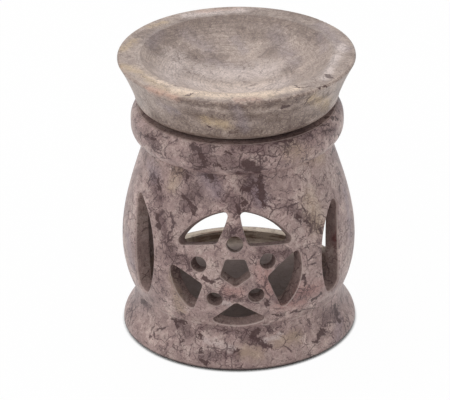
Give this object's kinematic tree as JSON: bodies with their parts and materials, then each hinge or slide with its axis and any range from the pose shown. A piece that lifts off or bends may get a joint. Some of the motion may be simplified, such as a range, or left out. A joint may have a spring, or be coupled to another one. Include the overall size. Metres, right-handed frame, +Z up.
{
  "type": "essential oil burner",
  "caption": "Turned soapstone oil burner: a hollow body pierced with a star and crescents, and a loose shallow oil dish seated in its mouth.",
  "frame": {"origin": "centre of the foot's flat underside", "axes": "+Z up the axis of turning; the pierced star faces -Y and the doorway for the tea light faces +Y"},
  "size_m": [0.0804, 0.0804, 0.0997],
  "materials": {
    "body_stone": "satin",
    "dish_stone": "satin"
  },
  "bodies": {
    "burner": {"burner_body": "body_stone"},
    "dish": {"oil_dish": "dish_stone"}
  },
  "joints": [
    {"name": "dish_lift", "type": "slide", "parent": "burner", "child": "dish", "axis": [0, 0, 1], "range_m": [0, 0.04]}
  ]
}
